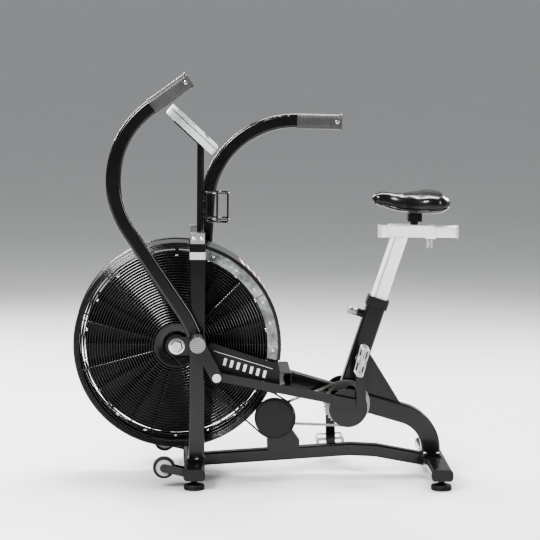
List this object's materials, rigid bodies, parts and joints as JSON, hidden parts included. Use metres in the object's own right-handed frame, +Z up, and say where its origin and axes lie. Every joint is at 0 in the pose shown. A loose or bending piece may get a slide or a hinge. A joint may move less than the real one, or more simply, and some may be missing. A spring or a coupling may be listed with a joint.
{
  "type": "air bike",
  "caption": "Upright fan exercise bike with swinging arms, a caged air-resistance wheel, crank pedals and an adjustable saddle on a steel frame.",
  "frame": {"origin": "on the floor, under the middle of the bike's box", "axes": "+X towards the rear, -X towards the fan, -Y the rider's left, +Z up"},
  "size_m": [1.2319, 0.59, 1.3056],
  "materials": {
    "frame_paint": "gloss black powder coat",
    "plastic": "satin moulded",
    "rubber": "matt",
    "bolt_steel": "bright plated",
    "chain_steel": "oiled",
    "cage_paint": "gloss black wire",
    "guard": "smoked gloss",
    "console_silver": "silver",
    "screen": "gloss",
    "button": "soft touch",
    "wire": "gloss black wire",
    "crank_paint": "gloss black",
    "fan_metal": "black painted sheet",
    "pedal": "bright moulded",
    "wheel": "matt",
    "post_silver": "satin silver",
    "saddle_vinyl": "gloss vinyl",
    "knob": "turned"
  },
  "bodies": {
    "frame": {"front_stabilizer": "frame_paint", "rear_stabilizer": "frame_paint", "stabilizer_caps": "plastic", "feet": "rubber", "left_upright": "frame_paint", "right_upright": "frame_paint", "bridge": "frame_paint", "frame_bolts": "bolt_steel", "side_rails": "frame_paint", "main_tube": "frame_paint", "lower_beam": "frame_paint", "seat_tube": "frame_paint", "post_collar": "plastic", "crank_bearings": "bolt_steel", "pedestal": "frame_paint", "chain": "chain_steel", "belt": "rubber", "fan_axle": "bolt_steel", "drum_band": "cage_paint", "cage_sides": "cage_paint", "wind_guard": "guard", "side_covers": "plastic", "mast": "frame_paint", "console_case": "console_silver", "console_bezel": "console_silver", "console_screen": "screen", "bottle_holder": "wire", "foot_pegs": "bolt_steel", "wheel_forks": "frame_paint"},
    "crank": {"crank_spindle": "bolt_steel", "crank_webs": "crank_paint", "crank_arms": "crank_paint", "pedal_axles": "bolt_steel", "chainring": "chain_steel"},
    "jack": {"jackshaft": "chain_steel", "jack_pulley": "plastic"},
    "fan": {"fan_hub": "fan_metal", "fan_wheel": "fan_metal"},
    "left_arm": {"left_arm": "frame_paint", "left_rod_bolt": "bolt_steel", "left_grip": "rubber"},
    "right_arm": {"right_arm": "frame_paint", "right_rod_bolt": "bolt_steel", "right_grip": "rubber"},
    "left_rod": {"left_rod": "crank_paint"},
    "right_rod": {"right_rod": "crank_paint"},
    "left_pedal": {"left_pedal": "pedal"},
    "right_pedal": {"right_pedal": "pedal"},
    "left_wheel": {"left_wheel": "wheel"},
    "right_wheel": {"right_wheel": "wheel"},
    "seat_post": {"seat_post": "post_silver", "rail_caps": "plastic"},
    "seat_slider": {"seat_carriage": "post_silver", "saddle_clamp": "post_silver", "saddle": "saddle_vinyl"},
    "post_pin": {"post_pin": "knob"},
    "carriage_pin": {"carriage_pin": "knob"},
    "button_1": {"button_1": "button"},
    "button_2": {"button_2": "button"},
    "button_3": {"button_3": "button"}
  },
  "joints": [
    {"name": "crank_spin", "type": "hinge", "parent": "frame", "child": "crank", "pos_m": [0.26, 0, 0.24], "axis": [0, 1, 0], "continuous": true},
    {"name": "jack_spin", "type": "hinge", "parent": "frame", "child": "jack", "pos_m": [0.028, 0, 0.2], "axis": [0, 1, 0], "continuous": true},
    {"name": "fan_spin", "type": "hinge", "parent": "frame", "child": "fan", "pos_m": [-0.286, 0, 0.431], "axis": [0, 1, 0], "continuous": true},
    {"name": "left_pedal_spin", "type": "hinge", "parent": "crank", "child": "left_pedal", "pos_m": [0.29535, -0.236, 0.40629], "axis": [0, 1, 0], "continuous": true},
    {"name": "right_pedal_spin", "type": "hinge", "parent": "crank", "child": "right_pedal", "pos_m": [0.22465, 0.236, 0.07372], "axis": [0, 1, 0], "continuous": true},
    {"name": "left_rod_turn", "type": "hinge", "parent": "crank", "child": "left_rod", "pos_m": [0.29971, -0.16, 0.25367], "axis": [0, 1, 0], "continuous": true},
    {"name": "right_rod_turn", "type": "hinge", "parent": "crank", "child": "right_rod", "pos_m": [0.22029, 0.16, 0.22633], "axis": [0, 1, 0], "continuous": true},
    {"name": "left_arm_swing", "type": "hinge", "parent": "frame", "child": "left_arm", "pos_m": [-0.221, -0.182, 0.46], "axis": [0, 1, 0], "range_deg": [0, 37]},
    {"name": "right_arm_swing", "type": "hinge", "parent": "frame", "child": "right_arm", "pos_m": [-0.221, 0.182, 0.46], "axis": [0, 1, 0], "range_deg": [-37, 0]},
    {"name": "seat_post_slide", "type": "slide", "parent": "frame", "child": "seat_post", "axis": [0.309, 0, 0.9511], "range_m": [-0.14, 0.06]},
    {"name": "seat_slide", "type": "slide", "parent": "seat_post", "child": "seat_slider", "axis": [1, 0, 0], "range_m": [-0.024, 0.06]},
    {"name": "post_pin_pull", "type": "slide", "parent": "frame", "child": "post_pin", "axis": [-0.9511, 0, 0.309], "range_m": [0, 0.01], "stiffness_N_per_m": 600, "springref_m": -0.005},
    {"name": "carriage_pin_pull", "type": "slide", "parent": "seat_slider", "child": "carriage_pin", "axis": [0, 0, -1], "range_m": [0, 0.008], "stiffness_N_per_m": 600, "springref_m": -0.005},
    {"name": "left_wheel_spin", "type": "hinge", "parent": "frame", "child": "left_wheel", "pos_m": [-0.324, -0.239, 0.066], "axis": [0, 1, 0], "continuous": true},
    {"name": "right_wheel_spin", "type": "hinge", "parent": "frame", "child": "right_wheel", "pos_m": [-0.324, 0.239, 0.066], "axis": [0, 1, 0], "continuous": true},
    {"name": "button_1_press", "type": "slide", "parent": "frame", "child": "button_1", "axis": [-0.6756, 0, -0.7373], "range_m": [0, 0.0015], "stiffness_N_per_m": 300, "springref_m": -0.002},
    {"name": "button_2_press", "type": "slide", "parent": "frame", "child": "button_2", "axis": [-0.6756, 0, -0.7373], "range_m": [0, 0.0015], "stiffness_N_per_m": 300, "springref_m": -0.002},
    {"name": "button_3_press", "type": "slide", "parent": "frame", "child": "button_3", "axis": [-0.6756, 0, -0.7373], "range_m": [0, 0.0015], "stiffness_N_per_m": 300, "springref_m": -0.002}
  ],
  "couplings": [
    {"joint": "jack_spin", "follows": "crank_spin", "ratio": 3},
    {"joint": "fan_spin", "follows": "crank_spin", "ratio": 6},
    {"joint": "left_rod_turn", "follows": "crank_spin", "ratio": -1},
    {"joint": "right_rod_turn", "follows": "crank_spin", "ratio": -1},
    {"joint": "right_arm_swing", "follows": "left_arm_swing", "ratio": -1}
  ]
}
